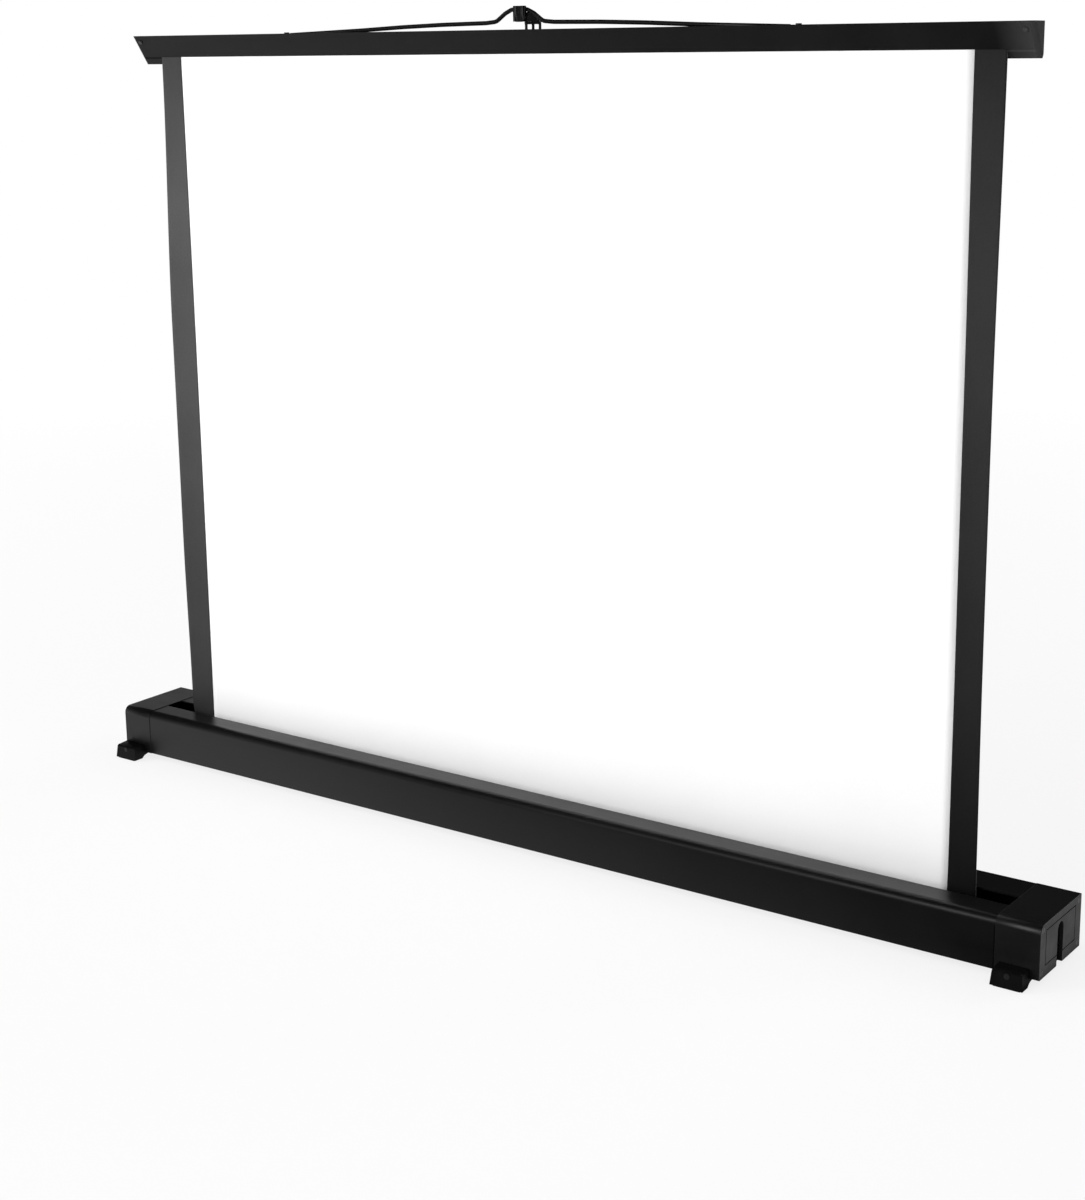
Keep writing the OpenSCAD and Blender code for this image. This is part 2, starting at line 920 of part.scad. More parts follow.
module base_pin() {
    color("#9a9ca0") {
        rod_y(arm_shift, upper_front - pin_head, lug_rear + pin_head, base_z, arm_pin_radius);
        rod_y(arm_shift, upper_front - pin_head, upper_front, base_z, pin_head_radius);
        rod_y(arm_shift, lug_rear, lug_rear + pin_head, base_z, pin_head_radius);
    }
}

module hook_neck() {
    window = (neck_width - 3 * leg_width) / 2;
    color("#202020")
        difference() {
            union() {
                translate([arm_shift - neck_width / 2, neck_front, head_z])
                    cube([neck_width, neck_thickness, nose_bottom - head_z]);
                rod_y(arm_shift, neck_front, neck_rear, head_z, neck_width / 2);
                translate([arm_shift - neck_width / 2, neck_front - neck_foot, neck_shelf_z])
                    cube([neck_width, neck_thickness + neck_foot, neck_shelf]);
            }
            rod_y(arm_shift, neck_front - 1, neck_rear + 1, head_z, head_pin_radius);
            for (x = [-neck_width / 2 + leg_width, leg_width / 2])
                translate([arm_shift + x, neck_front - 1, bar_top - window_drop])
                    cube([window, neck_thickness + 2, neck_shelf_z - bar_top + window_drop]);
        }
}

// Nose in side view without its lip, drawn as x = depth and y = height
module nose_profile() {
    saddle = handle_y + groove_half;
    polygon([
        [lip_rear - eps, nose_bottom], [neck_rear, nose_bottom], [neck_rear, nose_rear],
        [saddle, groove_bottom + groove_rise], [saddle, groove_bottom], [lip_rear - eps, groove_bottom]
    ]);
}

// Lip of the hook: a plate with two upright ribs, rounded at its lower corners
module nose_lip() {
    low = nose_bottom - lip_drop;
    high = bar_top + hump_height + lip_rise;
    intersection() {
        union() {
            translate([arm_shift - nose_width / 2, lip_rear - lip_thickness + lip_rim, low])
                cube([nose_width, lip_thickness - lip_rim, high - low]);
            for (side = [-1, 1])
                translate([arm_shift + side * lip_rib_x, lip_rear - lip_thickness + lip_rib, low - 1])
                    cylinder(h = high - low + 2, r = lip_rib);
        }
        translate([arm_shift, lip_rear, 0])
            rotate([90, 0, 0])
                linear_extrude(2 * lip_thickness)
                    difference() {
                        translate([-nose_width / 2, low])
                            square([nose_width, high - low]);
                        for (side = [0, 1])
                            mirror([side, 0])
                                translate([-nose_width / 2, low])
                                    corner_cut(lip_corner);
                        for (side = [0, 1])
                            mirror([side, 0])
                                translate([-nose_width / 2, high])
                                    mirror([0, 1])
                                        corner_cut(lip_rim);
                    }
    }
}

module hook_nose() {
    color("#1a1a1a") {
        along_x(arm_shift - saddle_width / 2, saddle_width)
            nose_profile();
        nose_lip();
    }
}

case_body();
end_sleeve(-1);  // end_sleeve_left
end_sleeve(1);  // end_sleeve_right
end_plate(-1);  // end_plate_left
end_plate(1);  // end_plate_right
end_screws();
foot(true, true);  // foot_front_left
foot(true, false);  // foot_front_right
foot(false, true);  // foot_rear_left
foot(false, false);  // foot_rear_right
foot_screws();
foot_pads();
roller_bracket(-1);  // roller_bracket_left
roller_bracket(1);  // roller_bracket_right
bracket_screws();
roller_tube();
roller_plug();
roller_bush();
spring_arbor();
return_spring();
fabric_roll();
screen_fabric();
border(-1);  // border_left
border(1);  // border_right
top_bar();
bar_cap_piece(-1);  // bar_cap_left
bar_cap_piece(1);  // bar_cap_right
fabric_rod();
bar_screws();
handle_wire();
handle_clips();
clip_screws();
arm_base();
base_screws();
base_pin();
lower_arm();
elbow_pin();
elbow_spacer();
upper_arm();
head_pin();
hook_neck();
hook_nose();
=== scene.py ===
"""Tabletop projection screen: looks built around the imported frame, in metres.

X runs along the case, Y to the rear and Z up from the table. The camera is the photograph's.
"""

import math

import bmesh
import bpy
from mathutils import Matrix, Vector, noise


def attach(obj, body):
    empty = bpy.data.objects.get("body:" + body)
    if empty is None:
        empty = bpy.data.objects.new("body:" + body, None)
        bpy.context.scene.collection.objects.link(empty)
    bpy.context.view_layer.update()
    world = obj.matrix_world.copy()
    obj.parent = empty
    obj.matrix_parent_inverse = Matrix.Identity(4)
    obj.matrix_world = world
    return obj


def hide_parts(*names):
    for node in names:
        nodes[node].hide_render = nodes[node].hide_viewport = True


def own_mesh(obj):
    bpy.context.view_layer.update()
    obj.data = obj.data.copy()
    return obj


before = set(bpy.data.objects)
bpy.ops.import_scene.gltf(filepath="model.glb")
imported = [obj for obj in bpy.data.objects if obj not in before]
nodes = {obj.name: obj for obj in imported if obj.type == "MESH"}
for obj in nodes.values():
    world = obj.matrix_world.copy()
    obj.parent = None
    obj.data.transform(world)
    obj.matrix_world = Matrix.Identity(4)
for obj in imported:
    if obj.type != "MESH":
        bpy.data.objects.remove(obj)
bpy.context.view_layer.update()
scene = bpy.context.scene
MM = 0.001

# Sizes repeated from the part's source, in metres
FABRIC_LEFT, FABRIC_RIGHT = -0.514, 0.502
FABRIC_FRONT, FABRIC_REAR = 0.5 * MM, 0.8 * MM
FABRIC_LOW, FABRIC_HIGH = 0.0251, 0.83175
BORDER = 30.5 * MM
ROLLER_Y, ROLLER_Z = -0.0128, 0.0251
TUBE_RADIUS, ROLL_RADIUS = 0.012, 0.013
FABRIC_THICKNESS = 0.3 * MM
BAR_MIDDLE, BAR_TOP, WIRE_Y = -0.0065, 0.84475, -0.009
WIRE_RADIUS = 2.1 * MM


# Materials

# Noises of the surfaces, each as its scale, detail and roughness
COAT_PATCHES = (9.0, 3.0, 0.6)
COAT_RUBBING = (60.0, 4.0, 0.62)
PLASTIC_CLOUDS = (35.0, 3.0, 0.6)
METAL_LINES = (55.0, 4.0, 0.6)
METAL_BLOOM = (60.0, 3.0, 0.6)
CLOTH_MOTTLE = (7.0, 3.0, 0.55)
CLOTH_FLECK = (700.0, 2.0, 0.5)
# The part of a noise's span over which a colour or a roughness changes
NOISE_RANGE = (0.3, 0.7)
COAT_ROUGH_RANGE = (0.32, 0.68)
METAL_RANGE = (0.35, 0.65)
# The coat's specks, as a share of its orange peel's scale, and its rubbing, drawn out along X
SPECK_SHARE = 3.2
RUBBING_STRETCH = (0.12, 1.0, 1.0)
# Where the bar's coat is painted lighter towards its right end, a painted highlight standing in for the light
# caught by its rounded end, along X, and how far that wanders
HIGHLIGHT_END_RANGE = (0.498, 0.534)
HIGHLIGHT_END_WANDER = 0.01
# Where the case's coat ends in the dark line beside the right sleeve, along X, and where that fades out in Z
RIGHT_JOINT = min(corner[0] for corner in nodes["end_sleeve_right"].bound_box) - 1.5 * MM
JOINT_EDGE = 0.4 * MM
JOINT_HEIGHT = (0.048, 0.053)
# Where a border is darkened as painted shade near the case and near the bar, in Z, and its share of the tone
# at the bar
LOW_SHADE_SPAN, HIGH_SHADE_SPAN, HIGH_SHADE_SHARE = (0.05, 0.62), (0.66, 0.82), 0.5


class Shader:
    """A material and short calls for the nodes in it."""

    def __init__(self, name):
        self.material = bpy.data.materials.new(name)
        self.material.use_nodes = True
        self.tree = self.material.node_tree
        self.tree.nodes.clear()
        self.output = self.add("ShaderNodeOutputMaterial")
        self.surface = self.add("ShaderNodeBsdfPrincipled")
        self.link(self.surface.outputs[0], self.output.inputs["Surface"])
        self.place = self.add("ShaderNodeTexCoord").outputs["Object"]

    def add(self, kind, **values):
        node = self.tree.nodes.new(kind)
        for key, value in values.items():
            setattr(node, key, value)
        return node

    def link(self, source, socket):
        self.tree.links.new(source, socket)

    def stretch(self, x, y, z):
        """The object's coordinates with each axis scaled."""
        node = self.add("ShaderNodeMapping")
        node.inputs["Scale"].default_value = (x, y, z)
        self.link(self.place, node.inputs["Vector"])
        return node.outputs[0]

    def along(self, axis):
        """The place along one axis of the object."""
        node = self.add("ShaderNodeSeparateXYZ")
        self.link(self.place, node.inputs[0])
        return node.outputs[axis]

    def noise(self, scale, detail, rough, vector=None):
        node = self.add("ShaderNodeTexNoise")
        node.inputs["Scale"].default_value = scale
        node.inputs["Detail"].default_value = detail
        node.inputs["Roughness"].default_value = rough
        self.link(vector or self.place, node.inputs["Vector"])
        return node.outputs["Fac"]

    def wave(self, scale, bands):
        node = self.add("ShaderNodeTexWave", wave_type="BANDS", bands_direction=bands)
        node.inputs["Scale"].default_value = scale
        self.link(self.place, node.inputs["Vector"])
        return node.outputs["Fac"]

    def voronoi(self, scale):
        node = self.add("ShaderNodeTexVoronoi")
        node.inputs["Scale"].default_value = scale
        self.link(self.place, node.inputs["Vector"])
        return node.outputs["Distance"]

    def math(self, operation, first, second):
        node = self.add("ShaderNodeMath", operation=operation)
        for socket, value in zip(node.inputs, (first, second)):
            if isinstance(value, (int, float)):
                socket.default_value = value
            else:
                self.link(value, socket)
        return node.outputs[0]

    def weigh(self, first, second, share):
        """Two values added, the first with this share."""
        return self.math("ADD", self.math("MULTIPLY", first, share), self.math("MULTIPLY", second, 1 - share))

    def span(self, value, low, high, start=0.0, end=1.0):
        """A value from start to end, turned into one from low to high."""
        node = self.add("ShaderNodeMapRange")
        for socket, number in zip(list(node.inputs)[1:5], (start, end, low, high)):
            socket.default_value = number
        self.link(value, node.inputs["Value"])
        return node.outputs[0]

    def mix(self, share, first, second):
        node = self.add("ShaderNodeMix", data_type="RGBA")
        self.link(share, node.inputs[0])
        for socket, value in ((node.inputs[6], first), (node.inputs[7], second)):
            if isinstance(value, tuple):
                socket.default_value = value
            else:
                self.link(value, socket)
        return node.outputs[2]

    def scaled(self, colour, factor):
        node = self.add("ShaderNodeVectorMath", operation="SCALE")
        self.link(colour, node.inputs[0])
        self.link(factor, node.inputs["Scale"])
        return node.outputs[0]

    def bump(self, height, strength, distance):
        node = self.add("ShaderNodeBump")
        node.inputs["Strength"].default_value = strength
        node.inputs["Distance"].default_value = distance
        self.link(height, node.inputs["Height"])
        return node.outputs[0]

    def set(self, **sockets):
        for key, value in sockets.items():
            socket = self.surface.inputs[key.replace("_", " ")]
            if isinstance(value, (int, float, tuple)):
                socket.default_value = value
            else:
                self.link(value, socket)
        return self.material


def linear(text):
    """An sRGB colour such as 2b2b2b as linear values."""
    parts = [int(text[i:i + 2], 16) / 255 for i in (0, 2, 4)]
    return tuple(c / 12.92 if c <= 0.04045 else ((c + 0.055) / 1.055) ** 2.4 for c in parts) + (1.0,)


def coated(name, dark, light, level, rough_low, rough_high, peel=900.0, peel_depth=0.03,
           highlight_end=None, joint=None):
    """Black powder coat: orange peel, handling marks, uneven gloss, a painted highlight at one end and a
    joint's line.
    """
    shader = Shader(name)
    patches = shader.noise(*COAT_PATCHES)
    fine = shader.noise(peel, 2.0, 0.5)
    speck = shader.noise(peel * SPECK_SHARE, 1.0, 0.5)
    rubbed = shader.noise(*COAT_RUBBING, shader.stretch(*RUBBING_STRETCH))
    tone = shader.span(shader.weigh(patches, fine, 0.55), 0.0, 1.0, *NOISE_RANGE)
    colour = shader.mix(tone, linear(dark), linear(light))
    if joint:
        line = shader.math("MULTIPLY", shader.span(shader.along("X"), 0.0, 1.0, joint, joint + JOINT_EDGE),
                           shader.span(shader.along("Z"), 1.0, 0.0, *JOINT_HEIGHT))
        level = shader.span(line, level, 0.0)
    # Painted highlight: the colour grows lighter towards one end along X
    if highlight_end:
        place = shader.math("ADD", shader.along("X"), shader.math("MULTIPLY", patches, HIGHLIGHT_END_WANDER))
        colour = shader.mix(shader.span(place, 0.0, 1.0, *HIGHLIGHT_END_RANGE), colour, linear(highlight_end))
    rough = shader.span(shader.weigh(patches, rubbed, 0.6), rough_low, rough_high, *COAT_ROUGH_RANGE)
    height = shader.weigh(fine, speck, 0.8)
    return shader.set(Base_Color=colour, Roughness=rough, Specular_IOR_Level=level,
                      Normal=shader.bump(height, 0.35, peel_depth * MM))


def plastic(name, dark, light, level, rough_low, rough_high, grain=1500.0, depth=0.02):
    """Moulded plastic with a fine spark-eroded grain and dull rubbed places."""
    shader = Shader(name)
    cloudy = shader.noise(*PLASTIC_CLOUDS)
    cell = shader.voronoi(grain)
    fine = shader.noise(grain * 0.6, 3.0, 0.6)
    colour = shader.mix(shader.span(cloudy, 0.0, 1.0, *NOISE_RANGE), linear(dark), linear(light))
    rough = shader.span(cloudy, rough_low, rough_high, *NOISE_RANGE)
    return shader.set(Base_Color=colour, Roughness=rough, Specular_IOR_Level=level,
                      Normal=shader.bump(shader.weigh(cell, fine, 0.5), 0.4, depth * MM))


def metal(name, dark, light, rough_low, rough_high, brush=(1.0, 40.0, 40.0), depth=0.01):
    """Bare or plated metal with drawn or brushed lines along one axis and a dull bloom."""
    shader = Shader(name)
    lines = shader.noise(*METAL_LINES, shader.stretch(*brush))
    bloom = shader.noise(*METAL_BLOOM)
    tone = shader.span(shader.weigh(lines, bloom, 0.5), 0.0, 1.0, *METAL_RANGE)
    colour = shader.mix(tone, linear(dark), linear(light))
    rough = shader.span(lines, rough_low, rough_high, *NOISE_RANGE)
    return shader.set(Base_Color=colour, Roughness=rough, Metallic=1.0,
                      Normal=shader.bump(lines, 0.3, depth * MM))


def cloth(name, dark, light, rough, level, thread=2300.0, depth=0.03, low_shade_share=1.0):
    """Coated woven cloth: threads across and up, fine mottle, and, where asked, painted shade darkening the
    colour low down and near the bar.
    """
    shader = Shader(name)
    across = shader.wave(thread / (2 * math.pi), "X")
    up = shader.wave(thread / (2 * math.pi), "Z")
    tone = shader.weigh(shader.noise(*CLOTH_MOTTLE), shader.noise(*CLOTH_FLECK), 0.6)
    colour = shader.mix(shader.span(tone, 0.0, 1.0, *NOISE_RANGE), linear(dark), linear(light))
    # Painted shade: the colour darkens towards the case and towards the bar, leaving a lighter band between
    if low_shade_share < 1.0:
        height = shader.along("Z")
        share = shader.math("MULTIPLY", shader.span(height, low_shade_share, 1.0, *LOW_SHADE_SPAN),
                            shader.span(height, 1.0, HIGH_SHADE_SHARE, *HIGH_SHADE_SPAN))
        colour = shader.scaled(colour, share)
    return shader.set(Base_Color=colour, Roughness=rough, Specular_IOR_Level=level,
                      Normal=shader.bump(shader.math("MULTIPLY", across, up), 0.25, depth * MM))


CASE_COAT = coated("case_coat", "080808", "0e0e0e", 0.33, 0.30, 0.42, joint=RIGHT_JOINT)
# The right sleeve alone gets a lighter, glossier copy of the case's coat: painted light for how that end is
# lit; the left sleeve keeps the case's coat
RIGHT_SLEEVE_LIT_COAT = coated("right_sleeve_painted_light_coat", "0c0c0c", "131313", 0.5, 0.32, 0.44)
PLATE_PLASTIC = plastic("plate_plastic", "191919", "232323", 0.14, 0.4, 0.55)
FOOT_PLASTIC = plastic("foot_plastic", "060606", "0c0c0c", 0.1, 0.4, 0.55)
HOOK_PLASTIC = plastic("hook_plastic", "060606", "0d0d0d", 0.26, 0.14, 0.24, depth=0.005)
# The bar's right end is painted lighter, as a painted highlight
BAR_COAT = coated("bar_coat", "0f0f0f", "161616", 0.15, 0.32, 0.44, highlight_end="3b3b3b")
CAP_PLASTIC = plastic("cap_plastic", "171717", "202020", 0.14, 0.38, 0.5)
# A lighter copy of the caps' plastic for the right cap only: a painted highlight for the light on that end
CAP_PAINTED_HIGHLIGHT = plastic("cap_plastic_painted_highlight", "303030", "3a3a3a", 0.06, 0.42, 0.54)
ARM_COAT = coated("arm_coat", "161616", "202020", 0.2, 0.34, 0.48, 1300.0)
WIRE_COAT = coated("wire_coat", "101010", "181818", 0.3, 0.2, 0.32, 1600.0, 0.012)
SCREW_PAINT = plastic("painted_screw", "343434", "424242", 0.2, 0.35, 0.5)
FOOT_SCREW_PAINT = plastic("foot_screw_paint", "181818", "222222", 0.12, 0.35, 0.5)
SCREW_STEEL = metal("black_screw_steel", "2c2c2e", "454548", 0.3, 0.5, (30.0, 30.0, 30.0))
PLAIN_SCREW = metal("plated_screw_steel", "8a8c90", "aeb0b4", 0.28, 0.45, (30.0, 30.0, 30.0))
ZINC = metal("zinc_plate", "85888c", "a9acb0", 0.3, 0.48, (12.0, 3.0, 12.0))
BRIGHT_PIN = metal("bright_pin_steel", "9a9da1", "c2c4c8", 0.2, 0.34, (30.0, 3.0, 30.0))
SPRING_STEEL = metal("spring_steel", "55585c", "7d8084", 0.3, 0.45, (1.0, 40.0, 40.0))
TUBE_ALUMINIUM = metal("tube_aluminium", "a7aaad", "cfd1d3", 0.26, 0.4, (1.0, 60.0, 60.0))
RUBBER = plastic("pad_rubber", "0e0e0e", "161616", 0.12, 0.7, 0.85, 900.0, 0.03)
WHITE_CLOTH = cloth("white_screen_cloth", "f6f6f6", "fafafa", 0.9, 0.1)
# The two borders are one black cloth, given as a lighter copy on the left and a darker one on the right:
# painted light and painted shade for light falling from the left
LIT_BORDER_CLOTH = cloth("border_cloth_painted_lit_left", "484848", "565656", 0.62, 0.38, low_shade_share=0.32)
SHADED_BORDER_CLOTH = cloth("border_cloth_painted_shade", "2a2a2a", "353535", 0.62, 0.16, low_shade_share=0.12)
CUT_EDGE = cloth("cloth_cut_edge", "8e8e8e", "b4b4b4", 0.9, 0.1)

# Every node that isn't named here is a foot
NODE_MATERIALS = {
    "case_body": CASE_COAT, "end_sleeve_left": CASE_COAT, "end_sleeve_right": RIGHT_SLEEVE_LIT_COAT,
    "end_plate_left": PLATE_PLASTIC, "end_plate_right": PLATE_PLASTIC,
    "end_screws": SCREW_STEEL, "foot_screws": FOOT_SCREW_PAINT, "foot_pads": RUBBER,
    "roller_bracket_left": ZINC, "roller_bracket_right": ZINC, "bracket_screws": PLAIN_SCREW,
    "roller_tube": TUBE_ALUMINIUM, "roller_plug": CAP_PLASTIC, "roller_bush": CAP_PLASTIC,
    "spring_arbor": BRIGHT_PIN, "return_spring": SPRING_STEEL,
    "fabric_roll": WHITE_CLOTH, "screen_fabric": WHITE_CLOTH,
    "border_left": SHADED_BORDER_CLOTH, "border_right": SHADED_BORDER_CLOTH,
    "top_bar": BAR_COAT, "bar_cap_left": CAP_PLASTIC, "bar_cap_right": CAP_PAINTED_HIGHLIGHT,
    "fabric_rod": BRIGHT_PIN, "bar_screws": SCREW_PAINT,
    "handle_wire": WIRE_COAT, "handle_clips": HOOK_PLASTIC, "clip_screws": SCREW_STEEL,
    "lower_arm": ARM_COAT, "upper_arm": ARM_COAT,
    "elbow_pin": BRIGHT_PIN, "elbow_spacer": BRIGHT_PIN, "head_pin": BRIGHT_PIN,
    "arm_base": ZINC, "base_screws": PLAIN_SCREW, "base_pin": BRIGHT_PIN,
    "hook_neck": HOOK_PLASTIC, "hook_nose": HOOK_PLASTIC,
}
for name, node in nodes.items():
    node.data.materials.clear()
    node.data.materials.append(NODE_MATERIALS.get(name, FOOT_PLASTIC))


# Edges of the carried-over solids

WELD_REACH = 0.002 * MM
# Widths of the softened edges, in millimetres
SOFT_EDGES = {
    "end_sleeve_left": 0.35, "end_sleeve_right": 0.35, "end_plate_left": 0.4, "end_plate_right": 0.4,
    "foot_front_left": 0.7, "foot_front_right": 0.7, "foot_rear_left": 0.7, "foot_rear_right": 0.7,
    "foot_pads": 0.3, "hook_neck": 0.35, "hook_nose": 0.5,
    "lower_arm": 0.3, "upper_arm": 0.3, "arm_base": 0.3,
}
CAP_EDGE = 0.8


def soften(node, width, angle=28.0, segments=2):
    """Rounds the edges of a CAD solid that turn by more than an angle, with modifiers only."""
    weld = node.modifiers.new("weld", "WELD")
    weld.merge_threshold = WELD_REACH
    bevel = node.modifiers.new("edge", "BEVEL")
    bevel.width = width
    bevel.segments = segments
    bevel.limit_method = "ANGLE"
    bevel.angle_limit = math.radians(angle)
    bevel.use_clamp_overlap = True


for name, width in SOFT_EDGES.items():
    soften(nodes[name], width * MM)
for name in ("bar_cap_left", "bar_cap_right"):
    soften(nodes[name], CAP_EDGE * MM, angle=8.0, segments=4)


# Fabric

# The fabric is held flat over these heights below the bar and above the roller. Between them it ripples
# in two sizes, each given by its pitch across and up, its place in the noise and its depth
HOLD_HIGH, HOLD_LOW = 0.12, 0.10
RIPPLES = ((2.1, 0.9, 3.7, 0.9 * MM), (7.5, 1.6, 11.2, 0.25 * MM))
# How far the outer edges draw in at half height, and the power with which that grows towards them
EDGE_WAIST, WAIST_POWER = 1.2 * MM, 3
# The curl grows above the roller in two stages, each as share, start and height, and ends below the bar
CURL_STAGES = ((0.62, FABRIC_LOW, 0.05), (0.38, 0.07, 0.2))
CURL_END, CURL_FADE = 0.012, 0.3
# How far forward the outer edges of the two borders curl, and the power with which they do
LEFT_CURL, LEFT_POWER = 7.0 * MM, 1.6
RIGHT_CURL, RIGHT_POWER = 6.4 * MM, 1.5
# How far the white fabric bows to the rear before the right border, and over what width
RIGHT_BOW, BOW_WIDTH = 3.4 * MM, 0.16
# Rows up the fabric, and columns across the white sheet and across a border
ROWS, SHEET_COLUMNS, BORDER_COLUMNS = 96, 112, 10
# The wound fabric: its share of the fabric's thickness, its gap to the tube and its steps in a turn
WOUND_SHARE, TUBE_GAP, TURN_STEPS = 0.9, 0.02 * MM, 72


def new_object(name, vertices, faces, materials, face_material=None):
    """A smooth mesh object, whose faces take the material that face_material picks by number."""
    mesh = bpy.data.meshes.new(name)
    mesh.from_pydata([tuple(vertex) for vertex in vertices], [], faces)
    mesh.update()
    for material in materials:
        mesh.materials.append(material)
    for polygon in mesh.polygons:
        polygon.use_smooth = True
        if face_material:
            polygon.material_index = face_material(polygon)
    made = bpy.data.objects.new(name, mesh)
    scene.collection.objects.link(made)
    return made


def smoothstep(value):
    value = min(1.0, max(0.0, value))
    return value * value * (3 - 2 * value)


def ripple(x, z):
    """How far the stretched fabric stands behind or before its plane."""
    hold = smoothstep((FABRIC_HIGH - z) / HOLD_HIGH) * smoothstep((z - FABRIC_LOW) / HOLD_LOW)
    return hold * sum(depth * noise.noise(Vector((x * across, place, z * up)))
                      for across, up, place, depth in RIPPLES)


def edge_draw(x, z):
    """How far an outer edge draws in towards the middle between bar and roller."""
    share = (z - FABRIC_LOW) / (FABRIC_HIGH - FABRIC_LOW)
    middle = (FABRIC_LEFT + FABRIC_RIGHT) / 2
    side = (x - middle) / ((FABRIC_RIGHT - FABRIC_LEFT) / 2)
    return -EDGE_WAIST * math.sin(math.pi * share) * side ** WAIST_POWER


def curl_level(z):
    """Share of the full curl at a height: none in the bar, full in the middle, less near the roller."""
    low = sum(share * smoothstep((z - start) / height) for share, start, height in CURL_STAGES)
    return low * smoothstep((FABRIC_HIGH - CURL_END - z) / CURL_FADE)


def curl(x, z):
    """How far the side borders curl: their outer edges stand forward of the plane."""
    inner_left, inner_right = FABRIC_LEFT + BORDER, FABRIC_RIGHT - BORDER
    if x < inner_left:
        return -LEFT_CURL * ((inner_left - x) / BORDER) ** LEFT_POWER * curl_level(z)
    behind = RIGHT_BOW * smoothstep((x - inner_right + BOW_WIDTH) / BOW_WIDTH)
    if x > inner_right:
        behind -= RIGHT_CURL * ((x - inner_right) / BORDER) ** RIGHT_POWER
    return behind * curl_level(z)


def cloth_panel(name, x1, x2, columns, materials):
    """A thin sheet between x1 and x2. Its cut edges are flat and take the last of its materials."""
    vertices, faces = [], []
    for face_y in (FABRIC_FRONT, FABRIC_REAR):
        for j in range(ROWS + 1):
            z = FABRIC_LOW + (FABRIC_HIGH - FABRIC_LOW) * j / ROWS
            for i in range(columns + 1):
                x = x1 + (x2 - x1) * i / columns
                vertices.append((x + edge_draw(x, z), face_y + ripple(x, z) + curl(x, z), z))
    layer = (ROWS + 1) * (columns + 1)

    def at(i, j, k):
        return k * layer + j * (columns + 1) + i

    for j in range(ROWS):
        for i in range(columns):
            faces.append((at(i, j, 0), at(i + 1, j, 0), at(i + 1, j + 1, 0), at(i, j + 1, 0)))
            faces.append((at(i, j, 1), at(i, j + 1, 1), at(i + 1, j + 1, 1), at(i + 1, j, 1)))
    front_and_back = len(faces)
    last = columns
    for j in range(ROWS):
        faces.append((at(0, j, 0), at(0, j + 1, 0), at(0, j + 1, 1), at(0, j, 1)))
        faces.append((at(last, j, 0), at(last, j, 1), at(last, j + 1, 1), at(last, j + 1, 0)))
    for i in range(columns):
        faces.append((at(i, 0, 0), at(i, 0, 1), at(i + 1, 0, 1), at(i + 1, 0, 0)))
        faces.append((at(i, ROWS, 0), at(i + 1, ROWS, 0), at(i + 1, ROWS, 1), at(i, ROWS, 1)))
    panel = new_object(name, vertices, faces, materials,
                       lambda polygon: 0 if polygon.index < front_and_back else len(materials) - 1)
    for polygon in panel.data.polygons:
        polygon.use_smooth = polygon.index < front_and_back
    return panel


INNER_LEFT, INNER_RIGHT = FABRIC_LEFT + BORDER, FABRIC_RIGHT - BORDER
white = cloth_panel("screen_sheet", INNER_LEFT, INNER_RIGHT, SHEET_COLUMNS, [WHITE_CLOTH])
left_strip = cloth_panel("border_strip_left", FABRIC_LEFT, INNER_LEFT, BORDER_COLUMNS,
                         [LIT_BORDER_CLOTH, CUT_EDGE])
right_strip = cloth_panel("border_strip_right", INNER_RIGHT, FABRIC_RIGHT, BORDER_COLUMNS,
                          [SHADED_BORDER_CLOTH, CUT_EDGE])
for panel, node, slot, width in (
        (white, "screen_fabric", "white_fabric", FABRIC_RIGHT - FABRIC_LEFT - 2 * BORDER),
        (left_strip, "border_left", "black_border", BORDER),
        (right_strip, "border_right", "black_border", BORDER)):
    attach(panel, "case")
    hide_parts(node)
    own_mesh(panel)


def wound_roll():
    """The turns of fabric still on the tube, wound as one strip, with the dark ends of the borders."""
    sheet = FABRIC_THICKNESS * WOUND_SHARE
    turns = (ROLL_RADIUS - sheet - TUBE_RADIUS) / FABRIC_THICKNESS
    length = math.pi * turns * (TUBE_RADIUS + ROLL_RADIUS)
    steps = int(turns * TURN_STEPS)
    stations = [FABRIC_LEFT, INNER_LEFT, INNER_RIGHT, FABRIC_RIGHT]
    vertices, faces = [], []
    for i in range(steps + 1):
        angle = 2 * math.pi * turns * i / steps
        radius = TUBE_RADIUS + TUBE_GAP + FABRIC_THICKNESS * angle / (2 * math.pi)
        for r in (radius, radius + sheet):
            for x in stations:
                vertices.append((x, ROLLER_Y + r * math.cos(angle), ROLLER_Z + r * math.sin(angle)))
    count = len(stations)
    last = count - 1

    def at(i, k, j):
        return i * 2 * count + k * count + j

    for i in range(steps):
        for j in range(last):
            faces.append((at(i, 1, j), at(i, 1, j + 1), at(i + 1, 1, j + 1), at(i + 1, 1, j)))
            faces.append((at(i, 0, j), at(i + 1, 0, j), at(i + 1, 0, j + 1), at(i, 0, j + 1)))
        faces.append((at(i, 0, 0), at(i, 1, 0), at(i + 1, 1, 0), at(i + 1, 0, 0)))
        faces.append((at(i, 0, last), at(i + 1, 0, last), at(i + 1, 1, last), at(i, 1, last)))
    for i in (0, steps):
        for j in range(last):
            faces.append((at(i, 0, j), at(i, 0, j + 1), at(i, 1, j + 1), at(i, 1, j)))
    made = new_object("fabric_turns", vertices, faces, [WHITE_CLOTH, SHADED_BORDER_CLOTH],
                      lambda polygon: 0 if INNER_LEFT <= polygon.center.x <= INNER_RIGHT else 1)
    return made, length


roll, roll_length = wound_roll()
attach(roll, "roller")
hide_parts("fabric_roll")


# Handle wire

# Each half of the wire from its end to the hump: distance from the middle, height over the bar, bend radius
WIRE_HALF = [(303, -1.5, 0), (205, 1.75, 900), (147, 4.3, 900), (97, 5.8, 900), (41.5, 6.6, 18),
             (28.5, 7.7, 12), (17.5, 15.3, 12), (9.5, 18.9, 6)]
WIRE_SIDES = 16
